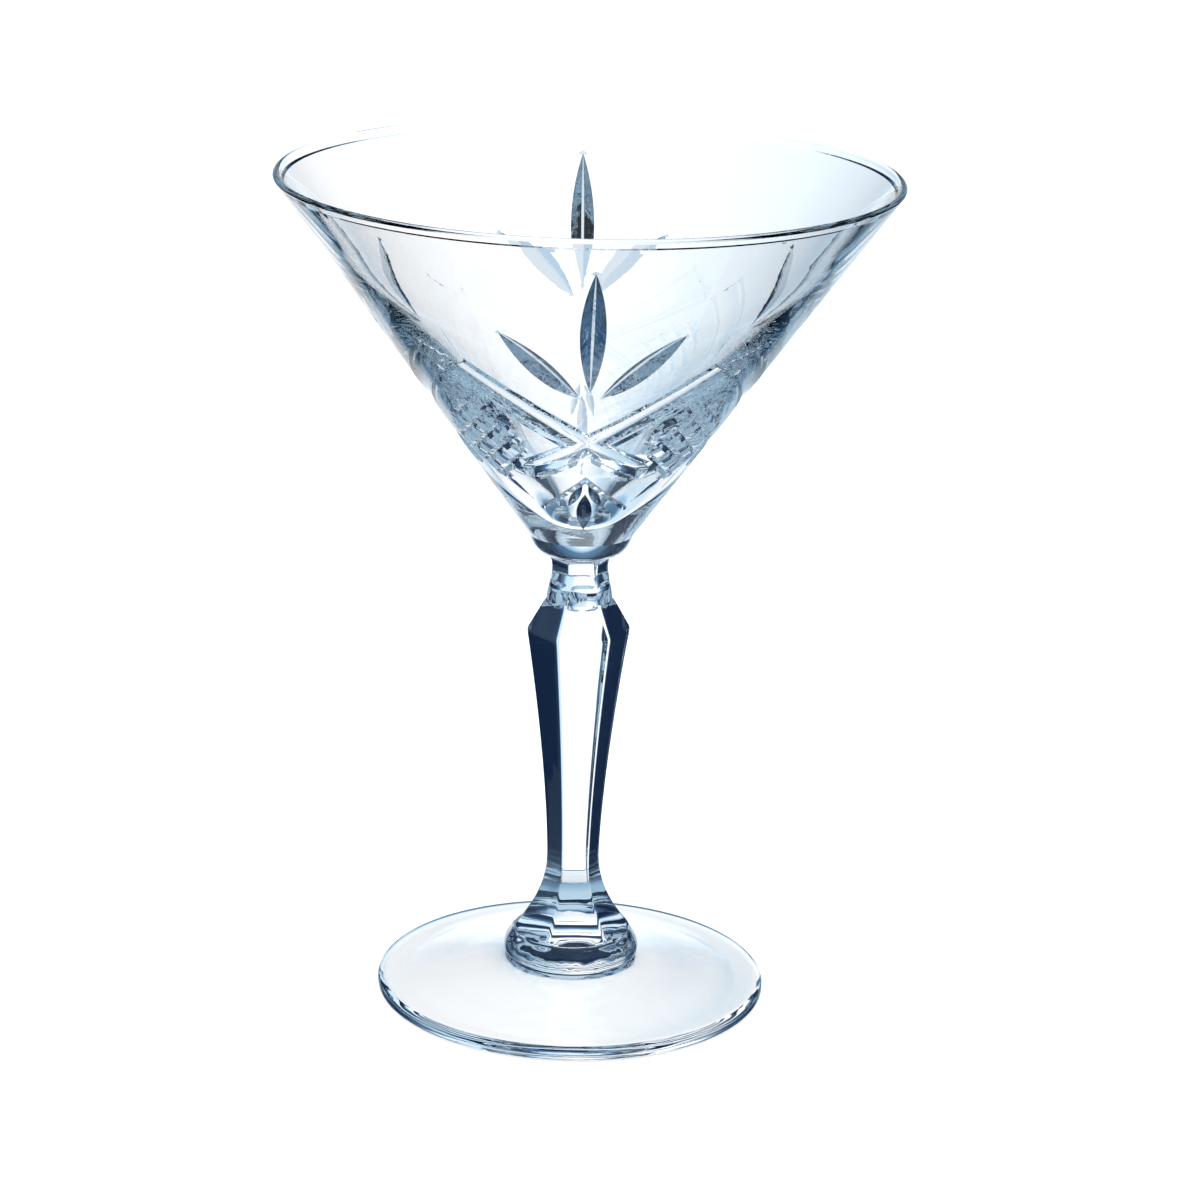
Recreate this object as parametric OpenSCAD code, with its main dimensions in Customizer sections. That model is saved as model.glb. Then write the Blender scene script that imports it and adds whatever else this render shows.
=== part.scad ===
// Martini glass of clear pressed and cut glass, standing on its foot.
// Millimetres, Z up, origin on the table at the middle of the foot.
// Five pieces of glass, hot-joined one on another: foot, base button, stem, neck, bowl.

/* [Overall] */
// Height from the table to the top of the lip
overall_h = 161.5; // [134.5:0.5:194]
// Diameter over the lip of the bowl
rim_d = 117; // [97.5:0.5:140.5]
// Diameter of the foot
foot_d = 75.4; // [62.8:0.2:90.6]

/* [Foot] */
// Thickness of the foot at its edge
foot_edge_t = 2.8; // [2.3:0.1:3.6]
// Rounding of the upper and lower corners of the edge
foot_edge_r = 1.1; // [0.4:0.1:1.1]
// Height of the foot in the middle, where the base button sits
foot_h = 7; // [5.8:0.1:9]
// Width of the flat ring that rests on the table
rest_ring_w = 4; // [2.5:0.5:8]
// Depth of the hollow under the foot, in the middle
hollow_h = 4; // [2:0.1:4.4]
// Height of the hollow half way out to the flat ring
hollow_mid_h = 2.7; // [1:0.1:3]

/* [Base button] */
// Diameter of the button where it meets the foot
button_foot_d = 24.6; // [20.4:0.2:26]
// Diameter of the button at its widest
button_d = 26.2; // [24:0.2:30]
// Diameter of the button under the stem
button_top_d = 22.4; // [20:0.2:23.4]
// Height of the button
button_h = 5.1; // [4:0.1:6.2]
// Height of the button's widest place above its bottom
button_edge_h = 1.6; // [0.8:0.1:2]

/* [Stem] */
// Turn of the six flats about the upright axis
stem_turn = 5; // [0:1:29]
// Setback of the stem's flare from the edge of the button's top
flare_inset = 0.1; // [0:0.05:1.5]
// Height of the flare above the bottom of the stem
flare_h = 15.6; // [12:0.2:20]
// Width over the corners at the waist
waist_d = 9.9; // [8.4:0.1:12]
// Width over the corners at the shoulder
shoulder_d = 19.4; // [16:0.2:24]
// Height of the slope above the shoulder
shoulder_h = 6.1; // [5:0.1:9]
// Width over the corners at the top of the stem
stem_top_d = 12.6; // [11.6:0.1:14]
// Width across the flats, as a share of the width over the corners
flat_share = 0.9; // [0.88:0.01:0.95]

/* [Neck] */
// Height of the whole neck
neck_h = 9.1; // [7.6:0.1:11]
// Height of the round ring at the bottom of the neck
neck_ring_h = 3.3; // [1.6:0.1:4]
// Diameter of the round ring at its top
neck_ring_top_d = 11.4; // [11:0.1:12.4]
// Width over the corners at the narrowest place
neck_d = 10.5; // [9.4:0.1:11.4]
// Diameter at the top, under the bowl
neck_top_d = 12.8; // [11:0.1:15.4]

/* [Bowl] */
// Height of the bowl
bowl_h = 72.8; // [68:0.2:80]
// Diameter at the bottom end of the straight cone
cone_foot_d = 20; // [18:0.2:23]
// Height of the rounded base under the straight cone
base_round_h = 3.9; // [3.2:0.1:4.7]
// Diameter towards which the rounded base runs out before it turns up
base_turn_d = 17.6; // [16:0.2:19]
// Wall at the lip, measured level
lip_wall = 1.5; // [1.3:0.1:2]
// Wall where the thick part begins, measured level
upper_wall = 2.8; // [2.4:0.1:3.2]
// Depth of the thin upper wall below the lip
upper_wall_h = 23.5; // [18:0.5:24]
// Thickness of the glass under the middle of the bowl's floor
floor_t = 9.1; // [7:0.1:12]
// Radius of the rounded floor of the bowl
floor_r = 6; // [4:0.5:7.5]

/* [Cut leaves] */
// Bowl height that the sizes of the cut pattern are drawn for; the pattern grows and shrinks with the bowl
pattern_bowl_h = 72.8; // [65:0.2:82]
// Number of times the pattern repeats round the bowl
motifs = 4; // [2:2:4]
// Depth of the leaf cuts
leaf_depth = 1.3; // [0.6:0.1:1.6]
// Width of the leaf cuts
leaf_w = 4.8; // [3:0.2:5.4]
// Length of the middle leaf
mid_leaf_l = 32; // [20:0.5:33]
// Height of the middle leaf's centre above the bottom of the bowl
mid_leaf_up = 53; // [50:0.5:54]
// Length of the side leaves
side_leaf_l = 25.4; // [18:0.2:27]
// Height of the side leaves' centres above the bottom of the bowl
side_leaf_up = 45.3; // [43:0.1:47]
// Sideways angle of the side leaves' centres round the bowl
side_leaf_az = 13.6; // [12:0.1:16]
// Lean of the side leaves from upright
side_leaf_lean = 38; // [32:1:42]

/* [Cut ribbons] */
// Depth of the ribbons
ribbon_depth = 0.45; // [0.2:0.05:0.7]
// Width of the ribbons
ribbon_w = 4.9; // [3.5:0.1:5.5]
// Height of the ribbons' crossing above the bottom of the bowl
ribbon_up = 27.8; // [26:0.1:29]
// Slope of the ribbons from level
ribbon_slope = 32; // [28:1:35]
// Reach of the ribbons above the crossing, measured level
ribbon_out = 24; // [18:0.5:25]
// Reach of the ribbons below the crossing, measured level
ribbon_in = 9.6; // [8:0.2:10]
// Depth of the fine lines
line_depth = 0.35; // [0.35:0.05:1]
// Width of the fine lines
line_w = 0.9; // [0.5:0.1:1.1]

/* [Cut panels and fans] */
// Height of the panels' centres above the bottom of the bowl
panel_up = 27; // [25:0.5:28.5]
// Height of the cross-cut panels
panel_h = 13; // [8:0.5:14]
// Width of the cross-cut panels
panel_w = 15; // [8:0.5:16]
// Distance between the panel lines
panel_pitch = 3.2; // [2.6:0.1:4]
// Height of the fan's top above the bottom of the bowl
fan_up = 20; // [18:0.2:20.4]
// Height of the fan
fan_h = 7; // [5:0.2:8]
// Half width of the fan at its foot
fan_half_w = 7.4; // [5:0.2:8]
// Length of the bead cut under the fan
bead_l = 10.4; // [7:0.2:11]
// Height of the bead cut's centre above the bottom of the bowl
bead_up = 12.4; // [11.6:0.1:13.4]
// Width of the bead cut
bead_w = 3; // [2:0.1:3.4]
// Depth of the bead cut
bead_depth = 0.9; // [0.4:0.1:1.2]
// Length of the small petals in the fan
petal_l = 7; // [4:0.2:8.4]
// Width of the small petals
petal_w = 1.7; // [1:0.1:2.2]
// Depth of the small petals
petal_depth = 0.55; // [0.3:0.05:0.8]
// Height of the petals' centres above the bottom of the bowl
petal_up = 16.2; // [15:0.1:17]
// Sideways angle of the petals' centres round the bowl
petal_az = 5.4; // [4:0.1:8]
// Lean of the petals from upright
petal_lean = 24; // [18:1:30]

/* [Hidden] */
GLASS = [0.80, 0.88, 0.93, 0.45];
ROUND_FN = 96;      // anything above 12 is a true round
ARC_STEPS = 6;      // straight steps in a drawn curve
STEM_STEPS = 7;     // steps in the long taper of the stem
FLARE_STEPS = 5;    // steps in the flare of the stem
FLARE_EXTRA = 1.2;  // how much wider the flats start than the round they are trimmed to
OVER = 1;           // how far a cutting body reaches past the glass
HALF_TURN = 180;
QUARTER_TURN = 90;
SIXTH_TURN = 60;
FLARE_CURVE = 2.2;  // how hollow the flare's side line is
TAPER_CURVE = 1.5;  // how hollow the long taper's side line is
NECK_CURVE = 2;     // how hollow the neck's side line is
SLAB_L = 2 * button_d + 2 * shoulder_d;

rim_r = rim_d / 2;
foot_r = foot_d / 2;
button_r = button_d / 2;
button_foot_r = button_foot_d / 2;
button_z = foot_h;
stem_z = button_z + button_h;
flare_d = button_top_d - 2 * flare_inset;
bowl_z = overall_h - bowl_h;
neck_z = bowl_z - neck_h;
stem_top = neck_z;
rim_round = lip_wall / 2;

// Bowl, heights above its own bottom
cone_r = cone_foot_d / 2;
cone_h = bowl_h - rim_round - base_round_h;
cone_slope = (rim_r - cone_r) / cone_h;
cone_tilt = atan(cone_slope);
shoulder_up = bowl_h - upper_wall_h;
shoulder_in_r = outer_r(shoulder_up) - upper_wall;
floor_centre_up = floor_t + floor_r;
// The inside cone runs from the thin upper wall to touch the rounded floor
floor_reach = norm([shoulder_in_r, shoulder_up - floor_centre_up]);
inside_half_angle = atan2(shoulder_in_r, shoulder_up - floor_centre_up) - asin(floor_r / floor_reach);
ribbon_far = rim_r;

// A pattern size made to fit the height of the bowl
function fit(size) = size * bowl_h / pattern_bowl_h;
ribbon_start = fit(ribbon_in) / cos(ribbon_slope);
ribbon_l = fit(ribbon_in + ribbon_out) / cos(ribbon_slope);

// Radius of the outer cone at a height above the bottom of the bowl
function outer_r(up) = cone_r + cone_slope * (up - base_round_h);
// Part of a circle about (cx, cz) from angle a to angle b
function arc(cx, cz, r, a, b, n) =
    [for (i = [0 : n]) let (t = a + (b - a) * i / n) [cx + r * cos(t), cz + r * sin(t)]];
// A point of the curve from a to c that sets out and arrives towards b
function bend(a, b, c, t) = (1 - t) * (1 - t) * a + 2 * t * (1 - t) * b + t * t * c;
// Smooth step from v0 to v1 with a level start
function ease(v0, v1, t, power) = v0 + (v1 - v0) * pow(t, power);

// Stem half widths over the corners, as [half width, height], from bottom to top
flare_top = stem_z + flare_h;
shoulder_z = stem_top - shoulder_h;
flare_round_h = flare_h / 4;
top_round_h = shoulder_h / 2;
function stem_line() = concat(
    [for (i = [0 : FLARE_STEPS]) let (t = i / FLARE_STEPS)
        [ease(waist_d, flare_d + FLARE_EXTRA, 1 - t, FLARE_CURVE) / 2, stem_z + flare_h * t]],
    [for (i = [1 : STEM_STEPS]) let (t = i / STEM_STEPS)
        [ease(waist_d, shoulder_d, t, TAPER_CURVE) / 2, flare_top + (shoulder_z - flare_top) * t]],
    [[stem_top_d / 2, stem_top]]);
// Neck half widths over the corners, started inside its ring
function neck_line() = concat(
    [[neck_d / 2, neck_z + neck_ring_h / 2]],
    [for (i = [0 : ARC_STEPS]) let (t = i / ARC_STEPS)
        [neck_d / 2 + (neck_ring_top_d - neck_d) / 2 * pow(1 - 2 * min(t, 1 / 2), NECK_CURVE)
            + (neck_top_d - neck_d) / 2 * pow(2 * max(t, 1 / 2) - 1, NECK_CURVE),
         neck_z + neck_ring_h + (neck_h - neck_ring_h) * t]]);

// A solid of revolution of a side line of [half width, height] points
module turned(line) {
    rotate_extrude($fn = ROUND_FN)
        polygon(concat([[0, line[0][1]]], line, [[0, line[len(line) - 1][1]]]));
}

// One pair of opposite flats, as a slab whose sides follow the line
module flats(line, share) {
    rotate([QUARTER_TURN, 0, 0])
        linear_extrude(height = SLAB_L, center = true)
            polygon(concat(
                [for (p = line) [share * p[0], p[1]]],
                [for (i = [len(line) - 1 : -1 : 0]) [-share * line[i][0], line[i][1]]]));
}

// Six flats made by three turned pairs
module six_flats(line, share) {
    intersection() {
        rotate([0, 0, stem_turn + QUARTER_TURN]) flats(line, share);
        rotate([0, 0, stem_turn + QUARTER_TURN + SIXTH_TURN]) flats(line, share);
        rotate([0, 0, stem_turn + QUARTER_TURN - SIXTH_TURN]) flats(line, share);
    }
}

// Six flats with narrow round lands left at the corners
module six_sided(line, share) {
    intersection() {
        turned(line);
        six_flats(line, share);
    }
}

module foot() {
    flat_r = foot_r - foot_edge_r;
    ring_r = flat_r - rest_ring_w;
    color(GLASS)
        rotate_extrude($fn = ROUND_FN)
            polygon(concat(
                [[0, hollow_h], [ring_r / 2, hollow_mid_h], [ring_r, 0]],
                arc(flat_r, foot_edge_r, foot_edge_r, -QUARTER_TURN, 0, ARC_STEPS),
                arc(flat_r, foot_edge_t - foot_edge_r, foot_edge_r, 0, QUARTER_TURN, ARC_STEPS),
                // level over the resting ring, then rising to the button
                [[ring_r, foot_edge_t], [button_foot_r, foot_h], [0, foot_h]]));
}

module base_button() {
    top_r = button_top_d / 2;
    bulge_h = button_h - button_edge_h;
    color(GLASS)
        turned(concat(
            [for (i = [0 : ARC_STEPS - 1]) let (t = i / ARC_STEPS)
                [button_foot_r + (button_r - button_foot_r) * sin(QUARTER_TURN * t),
                 button_z + button_edge_h * (1 - cos(QUARTER_TURN * t))]],
            [for (i = [0 : ARC_STEPS]) let (t = i / ARC_STEPS)
                [top_r + (button_r - top_r) * cos(QUARTER_TURN * t),
                 button_z + button_edge_h + bulge_h * sin(QUARTER_TURN * t)]]));
}

module stem() {
    clear_r = shoulder_d; // well outside the six flats
    color(GLASS) intersection() {
        six_flats(stem_line(), flat_share);
        // rounds the corners of both ends
        turned([[flare_d / 2, stem_z], [flare_d / 2, stem_z + flare_round_h],
                [clear_r, stem_z + flare_round_h], [clear_r, stem_top - top_round_h],
                [stem_top_d / 2, stem_top]]);
    }
}

module neck() {
    color(GLASS) union() {
        translate([0, 0, neck_z])
            cylinder(h = neck_ring_h, d1 = stem_top_d, d2 = neck_ring_top_d, $fn = ROUND_FN);
        six_sided(neck_line(), flat_share);
    }
}

// The blown shape of the bowl, before cutting, standing on height zero
module bowl_blank() {
    rotate_extrude($fn = ROUND_FN)
        polygon(concat(
            [[0, 0], [neck_top_d / 2, 0]],
            [for (i = [1 : ARC_STEPS]) let (t = i / ARC_STEPS)
                bend([neck_top_d / 2, 0], [base_turn_d / 2, 0], [cone_r, base_round_h], t)],
            arc(rim_r - rim_round, bowl_h - rim_round, rim_round, 0, HALF_TURN, ARC_STEPS),
            [[shoulder_in_r, shoulder_up]],
            arc(0, floor_centre_up, floor_r, -inside_half_angle, -QUARTER_TURN, ARC_STEPS)));
}

// A shell of the outer cone, from a given depth under the surface outwards
module skin(depth) {
    low = base_round_h;
    high = bowl_h - rim_round;
    difference() {
        translate([0, 0, low])
            cylinder(h = high - low, r1 = outer_r(low) + OVER, r2 = outer_r(high) + OVER, $fn = ROUND_FN);
        translate([0, 0, low - OVER])
            cylinder(h = high - low + 2 * OVER, r1 = outer_r(low - OVER) - depth,
                     r2 = outer_r(high + OVER) - depth, $fn = ROUND_FN);
    }
}

// A leaf-shaped cut of a V-edged wheel, turned by lean about the surface
module wheel_cut(az, drawn_up, lean, drawn_l, drawn_w, depth) {
    up = fit(drawn_up);
    length = fit(drawn_l);
    width = fit(drawn_w);
    bite = depth + OVER;
    wheel_r = length * length / (8 * depth);
    spread = width / 2 / depth;
    rotate([0, 0, az]) translate([0, -outer_r(up), up])
        rotate([cone_tilt, 0, 0]) rotate([0, lean, 0])
            translate([0, depth - wheel_r, 0]) rotate([0, QUARTER_TURN, 0])
                rotate_extrude($fn = ROUND_FN)
                    polygon([[wheel_r, 0], [wheel_r - bite, bite * spread],
                             [wheel_r - bite, -bite * spread]]);
}

// A front drawing pushed through the near side of the skin
module through_front(az) {
    rotate([0, 0, az]) rotate([QUARTER_TURN, 0, 0])
        linear_extrude(height = ribbon_far) children();
}

// One ribbon in the front drawing: square upper end, round lower end
module ribbon_shape() {
    width = fit(ribbon_w);
    translate([0, fit(ribbon_up)]) rotate(ribbon_slope) {
        translate([-ribbon_start, -width / 2]) square([ribbon_l, width]);
        translate([-ribbon_start, 0]) circle(d = width, $fn = ROUND_FN);
    }
}

// The two fine lines along a ribbon's sides
module ribbon_lines() {
    for (side = [-1, 1])
        translate([0, fit(ribbon_up)]) rotate(ribbon_slope)
            translate([-ribbon_start, side * (fit(ribbon_w) - line_w) / 2 - line_w / 2])
                square([ribbon_l, line_w]);
}

// Crossed fine lines inside a diamond-shaped panel
module panel_lines() {
    reach = fit(panel_w + panel_h);
    half_w = fit(panel_w) / 2;
    half_h = fit(panel_h) / 2;
    translate([0, fit(panel_up)]) intersection() {
        polygon([[-half_w, 0], [0, -half_h], [half_w, 0], [0, half_h]]);
        for (way = [-1, 1], row = [-1 : 1])
            rotate(way * ribbon_slope)
                translate([-reach / 2, row * fit(panel_pitch) - line_w / 2]) square([reach, line_w]);
    }
}

// The arch of the fan
module fan_lines() {
    rise = atan(fan_h / fan_half_w);
    for (side = [0, 1])
        mirror([side, 0]) translate([0, fit(fan_up)]) rotate(-rise) translate([0, -line_w])
            square([fit(fan_half_w) / cos(rise), line_w]);
}

// Shallow ribbons of one motif
module ribbon_cut(az) {
    intersection() {
        skin(ribbon_depth);
        through_front(az) union() {
            ribbon_shape();
            mirror([1, 0]) ribbon_shape();
        }
    }
}

// Fine lines of one motif
module line_cut(az) {
    intersection() {
        skin(line_depth);
        through_front(az) union() {
            ribbon_lines();
            mirror([1, 0]) ribbon_lines();
            fan_lines();
        }
    }
}

// The cross-cut panel between two motifs
module panel_cut(az) {
    intersection() {
        skin(line_depth);
        through_front(az) panel_lines();
    }
}

module bowl() {
    step = 2 * HALF_TURN / motifs;
    color(GLASS) translate([0, 0, bowl_z])
        difference() {
            bowl_blank();
            for (i = [0 : motifs - 1]) {
                az = i * step;
                wheel_cut(az, mid_leaf_up, 0, mid_leaf_l, leaf_w, leaf_depth);
                wheel_cut(az, bead_up, 0, bead_l, bead_w, bead_depth);
                for (way = [-1, 1]) {
                    wheel_cut(az + way * side_leaf_az, side_leaf_up, way * side_leaf_lean,
                              side_leaf_l, leaf_w, leaf_depth);
                    wheel_cut(az + way * petal_az, petal_up, -way * petal_lean, petal_l, petal_w, petal_depth);
                }
                ribbon_cut(az);
                line_cut(az);
                panel_cut(az + step / 2);
            }
        }
}

foot();
base_button();
stem();
neck();
bowl();
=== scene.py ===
"""Martini glass of clear cut glass: the visual model, its finishes, the floor, the lights and the camera."""

import logging
import math
from dataclasses import dataclass, field
from enum import Enum
from typing import Callable, Dict, List, Optional, Sequence, Tuple, Union

import bmesh
import bpy
import numpy as np
from mathutils import Matrix, Vector
from mathutils.geometry import delaunay_2d_cdt


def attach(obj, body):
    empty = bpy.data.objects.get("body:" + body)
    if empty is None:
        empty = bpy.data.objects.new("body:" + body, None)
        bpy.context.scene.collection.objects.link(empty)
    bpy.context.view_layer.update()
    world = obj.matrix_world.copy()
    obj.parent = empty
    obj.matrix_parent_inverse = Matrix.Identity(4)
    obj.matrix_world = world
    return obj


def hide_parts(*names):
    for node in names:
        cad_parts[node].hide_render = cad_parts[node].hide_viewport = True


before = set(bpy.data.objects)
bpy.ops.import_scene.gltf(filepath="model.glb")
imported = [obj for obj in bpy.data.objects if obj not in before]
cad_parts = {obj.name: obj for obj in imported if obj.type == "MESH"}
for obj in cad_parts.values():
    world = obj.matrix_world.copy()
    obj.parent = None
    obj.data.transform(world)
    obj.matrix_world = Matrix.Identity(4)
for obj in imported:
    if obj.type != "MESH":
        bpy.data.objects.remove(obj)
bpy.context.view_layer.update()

LOG = logging.getLogger("martini_glass")
MM = 0.001
WELD = 0.002 * MM
SPECK = 0.0005 * MM
ROOT = "root"
LIP_SEGMENTS = 256
OCTANTS = 8
OCTANT = math.radians(45.0)
THIRD_SKIN = 2  # place of the edge finish in a piece that has a skin, a joint and an edge

Array = np.ndarray
Point = Tuple[float, float]
Line = List[Point]
Patch = Tuple[Array, List[Tuple[int, ...]], List[int]]
Colour = Tuple[float, float, float]
Tones = Tuple[Tuple[float, Colour], ...]
Tree = bpy.types.NodeTree
Socket = bpy.types.NodeSocket
Source = Union[Socket, float, Tuple[float, ...]]
Sources = Dict[Union[int, str], Source]


# ---------------------------------------------------------------- node helpers


def feed(tree: Tree, socket: Socket, source: Source) -> None:
    """Feeds one input.

    Args:
        tree: The node tree.
        socket: The input.
        source: The output socket to link to it, or the value to set it to.
    """
    if isinstance(source, Socket):
        tree.links.new(source, socket)
    else:
        socket.default_value = source


def add_node(tree: Tree, kind: str, sources: Sources, **settings: str) -> bpy.types.Node:
    """Adds a node, sets it up and feeds its inputs.

    Args:
        tree: The node tree to add to.
        kind: The node's type.
        sources: What feeds each input, by the input's name or number.
        settings: The node's own properties, such as its operation.

    Returns:
        The new node.
    """
    node = tree.nodes.new(kind)
    for name, value in settings.items():
        setattr(node, name, value)
    for place, source in sources.items():
        feed(tree, node.inputs[place], source)
    return node


def reckon(tree: Tree, operation: str, *sources: Source) -> Socket:
    """Result of one Math node.

    Args:
        tree: The node tree to add to.
        operation: The Math node's operation.
        sources: What feeds its inputs, in order.

    Returns:
        The node's output.
    """
    return add_node(tree, "ShaderNodeMath", dict(enumerate(sources)), operation=operation).outputs[0]


def reckon_vector(tree: Tree, operation: str, *sources: Source) -> Socket:
    """Result of one Vector Math node.

    Args:
        tree: The node tree to add to.
        operation: The Vector Math node's operation.
        sources: What feeds its inputs, in order.

    Returns:
        The node's vector output.
    """
    node = add_node(tree, "ShaderNodeVectorMath", dict(enumerate(sources)), operation=operation)
    return node.outputs["Vector"]


def scaled(tree: Tree, vector: Source, factor: Socket) -> Socket:
    """A vector times a number, as the output of a Vector Math node."""
    node = add_node(tree, "ShaderNodeVectorMath", {0: vector, "Scale": factor}, operation="SCALE")
    return node.outputs["Vector"]


def spread(tree: Tree, value: Socket, low: float, high: float, top: float = 1.0) -> Socket:
    """Spreads a range of a value over 0 to the top, and holds it there outside the range.

    Args:
        tree: The node tree to add to.
        value: The value.
        low: Where the range starts.
        high: Where the range ends.
        top: The result at the range's end.

    Returns:
        The Map Range node's output.
    """
    sources = {"Value": value, "From Min": low, "From Max": high, "To Max": top}
    return add_node(tree, "ShaderNodeMapRange", sources).outputs["Result"]


def blend(tree: Tree, kind: str, share: Source, first: Source, second: Source, way: str = "MIX") -> Socket:
    """Mixes two colours or two vectors.

    Args:
        tree: The node tree to add to.
        kind: RGBA or VECTOR.
        share: The second one's share.
        first: The first colour or vector.
        second: The second colour or vector.
        way: The Mix node's blend type.

    Returns:
        The Mix node's output of that kind.
    """
    node = add_node(tree, "ShaderNodeMix", {0: share}, data_type=kind, blend_type=way)
    ends = [socket for socket in node.inputs if socket.type == kind and socket.name in ("A", "B")]
    feed(tree, ends[0], first)
    feed(tree, ends[1], second)
    return next(socket for socket in node.outputs if socket.type == kind)


def graded(tree: Tree, value: Socket, tones: Tones) -> Socket:
    """Turns a value into a colour by a soft ramp.

    Args:
        tree: The node tree to add to.
        value: The value, 0 to 1.
        tones: Position and colour of each stop, in order.

    Returns:
        The ramp's colour output.
    """
    ramp = add_node(tree, "ShaderNodeValToRGB", {"Fac": value})
    ramp.color_ramp.interpolation = "EASE"
    elements = ramp.color_ramp.elements
    for element, (spot, tone) in zip((elements[0], elements[1]), (tones[0], tones[-1])):
        element.position = spot
        element.color = (*tone, 1.0)
    for spot, tone in tones[1:-1]:
        elements.new(spot).color = (*tone, 1.0)
    return ramp.outputs["Color"]


# ---------------------------------------------------------------- finishes


class WearGroup:
    """Node group for the surface life of worked glass: slow waves, fine ripple and handling marks."""

    NAME = "worked_glass_surface"
    MARKED = (0.55, 0.8)  # noise values between which handling marks come in

    def build(self) -> Tree:
        """Builds the group once.

        Returns:
            The node tree with inputs Wave Scale, Wave Height, Ripple Scale, Ripple Height, Mark Scale,
            Base Haze and Mark Haze, and outputs Haze and Height.
        """
        found = bpy.data.node_groups.get(self.NAME)
        if found is not None:
            return found
        tree = bpy.data.node_groups.new(self.NAME, "ShaderNodeTree")
        face = tree.interface
        for name, value in (
            ("Wave Scale", 40.0),
            ("Wave Height", 1.0),
            ("Ripple Scale", 400.0),
            ("Ripple Height", 0.05),
            ("Mark Scale", 900.0),
            ("Base Haze", 0.004),
            ("Mark Haze", 0.02),
        ):
            socket = face.new_socket(name=name, in_out="INPUT", socket_type="NodeSocketFloat")
            socket.default_value = value
        face.new_socket(name="Haze", in_out="OUTPUT", socket_type="NodeSocketFloat")
        face.new_socket(name="Height", in_out="OUTPUT", socket_type="NodeSocketFloat")
        given = tree.nodes.new("NodeGroupInput").outputs
        place = tree.nodes.new("ShaderNodeTexCoord").outputs["Object"]
        wave, ripple, marks = (
            add_node(
                tree, "ShaderNodeTexNoise", {"Vector": place, "Scale": given[scale], "Detail": detail}
            ).outputs["Fac"]
            for scale, detail in (("Wave Scale", 1.5), ("Ripple Scale", 2.0), ("Mark Scale", 3.0))
        )
        tall = reckon(tree, "MULTIPLY", wave, given["Wave Height"])
        fine = reckon(tree, "MULTIPLY", ripple, given["Ripple Height"])
        marked = spread(tree, marks, *self.MARKED)
        haze = reckon(tree, "MULTIPLY", marked, given["Mark Haze"])
        results = {
            "Height": reckon(tree, "ADD", tall, fine),
            "Haze": reckon(tree, "ADD", haze, given["Base Haze"]),
        }
        add_node(tree, "NodeGroupOutput", results)
        return tree


class ConeNormalGroup:
    """Node group that turns a normal towards that of the bowl's plain cone."""

    NAME = "plain_cone_normal"

    def build(self) -> Tree:
        """Builds the group once.

        Returns:
            The node tree with inputs Normal, Half Angle, Inside and Share, and output Normal.
        """
        found = bpy.data.node_groups.get(self.NAME)
        if found is not None:
            return found
        tree = bpy.data.node_groups.new(self.NAME, "ShaderNodeTree")
        face = tree.interface
        face.new_socket(name="Normal", in_out="INPUT", socket_type="NodeSocketVector")
        for name in ("Half Angle", "Inside", "Share"):
            face.new_socket(name=name, in_out="INPUT", socket_type="NodeSocketFloat")
        face.new_socket(name="Normal", in_out="OUTPUT", socket_type="NodeSocketVector")
        given = tree.nodes.new("NodeGroupInput").outputs
        place = tree.nodes.new("ShaderNodeNewGeometry").outputs["Position"]
        away = reckon_vector(tree, "NORMALIZE", reckon_vector(tree, "MULTIPLY", place, (1.0, 1.0, 0.0)))
        reach = scaled(tree, away, reckon(tree, "COSINE", given["Half Angle"]))
        fall = scaled(tree, (0.0, 0.0, 1.0), reckon(tree, "SINE", given["Half Angle"]))
        cone = reckon_vector(tree, "SUBTRACT", reach, fall)
        flip = reckon(tree, "MULTIPLY_ADD", given["Inside"], -2.0, 1.0)
        mixed = blend(tree, "VECTOR", given["Share"], given["Normal"], scaled(tree, cone, flip))
        add_node(tree, "NodeGroupOutput", {"Normal": reckon_vector(tree, "NORMALIZE", mixed)})
        return tree

    def place(self, tree: Tree, normal: Socket, inside: Socket, share: Source) -> Socket:
        """Adds the group to a material.

        Args:
            tree: The material's nodes.
            normal: The normal to turn.
            inside: 1 where the face is met from inside the glass.
            share: How far the normal is turned, 0 to 1.

        Returns:
            The turned normal.
        """
        group = tree.nodes.new("ShaderNodeGroup")
        group.node_tree = self.build()
        group.inputs["Half Angle"].default_value = Cone().tilt
        feed(tree, group.inputs["Normal"], normal)
        feed(tree, group.inputs["Inside"], inside)
        feed(tree, group.inputs["Share"], share)
        return group.outputs["Normal"]


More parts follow.
